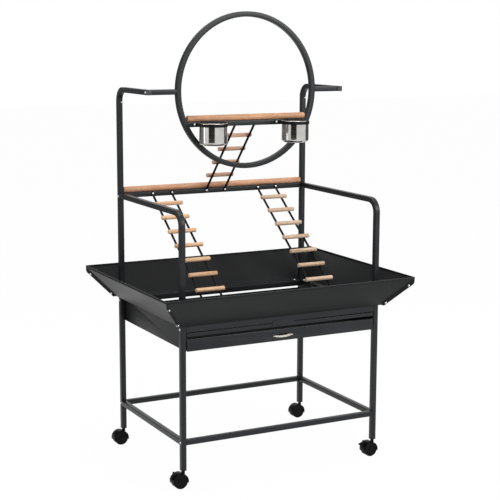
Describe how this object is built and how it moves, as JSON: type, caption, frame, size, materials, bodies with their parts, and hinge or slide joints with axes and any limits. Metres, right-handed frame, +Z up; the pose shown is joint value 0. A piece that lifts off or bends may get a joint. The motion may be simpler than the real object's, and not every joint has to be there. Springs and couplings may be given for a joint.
{
  "type": "parrot play stand",
  "caption": "Rolling parrot play stand: square-tube frame, ring, wooden perches, ladders, lift-out cups, flared seed guards, pull-out grate and drawer.",
  "frame": {"origin": "on the floor, at the centre of the footprint", "axes": "+X to the right, +Y to the rear (the drawer front faces -Y), +Z up"},
  "size_m": [0.9376, 0.7186, 1.557],
  "materials": {
    "coated_steel": "satin powder coat, dark charcoal",
    "stainless": "polished",
    "perch_wood": "sanded, unvarnished",
    "rung_wood": "sanded, unvarnished",
    "black_plastic": "moulded, matte",
    "wheel_plastic": "moulded, hard"
  },
  "bodies": {
    "frame": {"cup_holder_left": "coated_steel", "cup_holder_right": "coated_steel", "grate_runner_left": "coated_steel", "grate_runner_right": "coated_steel", "ladder_rungs_left": "rung_wood", "ladder_rungs_right": "rung_wood", "ladder_rungs_upper": "rung_wood", "ladder_wires_left": "coated_steel", "ladder_wires_right": "coated_steel", "ladder_wires_upper": "coated_steel", "leg_front_left": "coated_steel", "leg_front_right": "coated_steel", "leg_plugs": "black_plastic", "leg_rear_left": "coated_steel", "leg_rear_right": "coated_steel", "middle_bar": "coated_steel", "middle_perch": "perch_wood", "post_elbow_left": "coated_steel", "post_elbow_right": "coated_steel", "rail_front": "coated_steel", "rail_rear": "coated_steel", "rear_panel": "coated_steel", "rear_post_left": "coated_steel", "rear_post_right": "coated_steel", "ring": "coated_steel", "ring_arm_left": "coated_steel", "ring_arm_right": "coated_steel", "ring_bar": "coated_steel", "ring_perch": "perch_wood", "seed_guard_front": "coated_steel", "seed_guard_left": "coated_steel", "seed_guard_rear": "coated_steel", "seed_guard_right": "coated_steel", "side_arm_left": "coated_steel", "side_arm_right": "coated_steel", "side_panel_left": "coated_steel", "side_panel_right": "coated_steel", "stretcher_front": "coated_steel", "stretcher_left": "coated_steel", "stretcher_rear": "coated_steel", "stretcher_right": "coated_steel", "upper_post_left": "coated_steel", "upper_post_right": "coated_steel"},
    "drawer": {"drawer": "coated_steel"},
    "grate": {"grate": "coated_steel"},
    "cup_left": {"cup_left": "stainless"},
    "cup_right": {"cup_right": "stainless"},
    "caster_front_left": {"caster_hood_front_left": "black_plastic"},
    "wheels_front_left": {"caster_wheels_front_left": "wheel_plastic"},
    "pedal_front_left": {"brake_pedal_front_left": "black_plastic"},
    "caster_front_right": {"caster_hood_front_right": "black_plastic"},
    "wheels_front_right": {"caster_wheels_front_right": "wheel_plastic"},
    "pedal_front_right": {"brake_pedal_front_right": "black_plastic"},
    "caster_rear_left": {"caster_hood_rear_left": "black_plastic"},
    "wheels_rear_left": {"caster_wheels_rear_left": "wheel_plastic"},
    "caster_rear_right": {"caster_hood_rear_right": "black_plastic"},
    "wheels_rear_right": {"caster_wheels_rear_right": "wheel_plastic"}
  },
  "joints": [
    {"name": "drawer_slide", "type": "slide", "parent": "frame", "child": "drawer", "axis": [0, -1, 0], "range_m": [0, 0.45]},
    {"name": "grate_slide", "type": "slide", "parent": "frame", "child": "grate", "axis": [0, -1, 0], "range_m": [0, 0.45]},
    {"name": "cup_left_lift", "type": "slide", "parent": "frame", "child": "cup_left", "axis": [0, 0, 1], "range_m": [0, 0.09]},
    {"name": "cup_right_lift", "type": "slide", "parent": "frame", "child": "cup_right", "axis": [0, 0, 1], "range_m": [0, 0.09]},
    {"name": "swivel_front_left", "type": "hinge", "parent": "frame", "child": "caster_front_left", "pos_m": [-0.37, -0.2605, 0.07], "axis": [0, 0, 1], "continuous": true},
    {"name": "roll_front_left", "type": "hinge", "parent": "caster_front_left", "child": "wheels_front_left", "pos_m": [-0.384, -0.2605, 0.025], "axis": [0, 1, 0], "continuous": true},
    {"name": "brake_front_left", "type": "hinge", "parent": "caster_front_left", "child": "pedal_front_left", "pos_m": [-0.40096, -0.2605, 0.05214], "axis": [0, 1, 0], "range_deg": [0, 32]},
    {"name": "swivel_front_right", "type": "hinge", "parent": "frame", "child": "caster_front_right", "pos_m": [0.37, -0.2605, 0.07], "axis": [0, 0, 1], "continuous": true},
    {"name": "roll_front_right", "type": "hinge", "parent": "caster_front_right", "child": "wheels_front_right", "pos_m": [0.356, -0.2605, 0.025], "axis": [0, 1, 0], "continuous": true},
    {"name": "brake_front_right", "type": "hinge", "parent": "caster_front_right", "child": "pedal_front_right", "pos_m": [0.33904, -0.2605, 0.05214], "axis": [0, 1, 0], "range_deg": [-32, 0]},
    {"name": "swivel_rear_left", "type": "hinge", "parent": "frame", "child": "caster_rear_left", "pos_m": [-0.37, 0.2605, 0.07], "axis": [0, 0, 1], "continuous": true},
    {"name": "roll_rear_left", "type": "hinge", "parent": "caster_rear_left", "child": "wheels_rear_left", "pos_m": [-0.384, 0.2605, 0.025], "axis": [0, 1, 0], "continuous": true},
    {"name": "swivel_rear_right", "type": "hinge", "parent": "frame", "child": "caster_rear_right", "pos_m": [0.37, 0.2605, 0.07], "axis": [0, 0, 1], "continuous": true},
    {"name": "roll_rear_right", "type": "hinge", "parent": "caster_rear_right", "child": "wheels_rear_right", "pos_m": [0.356, 0.2605, 0.025], "axis": [0, 1, 0], "continuous": true}
  ]
}
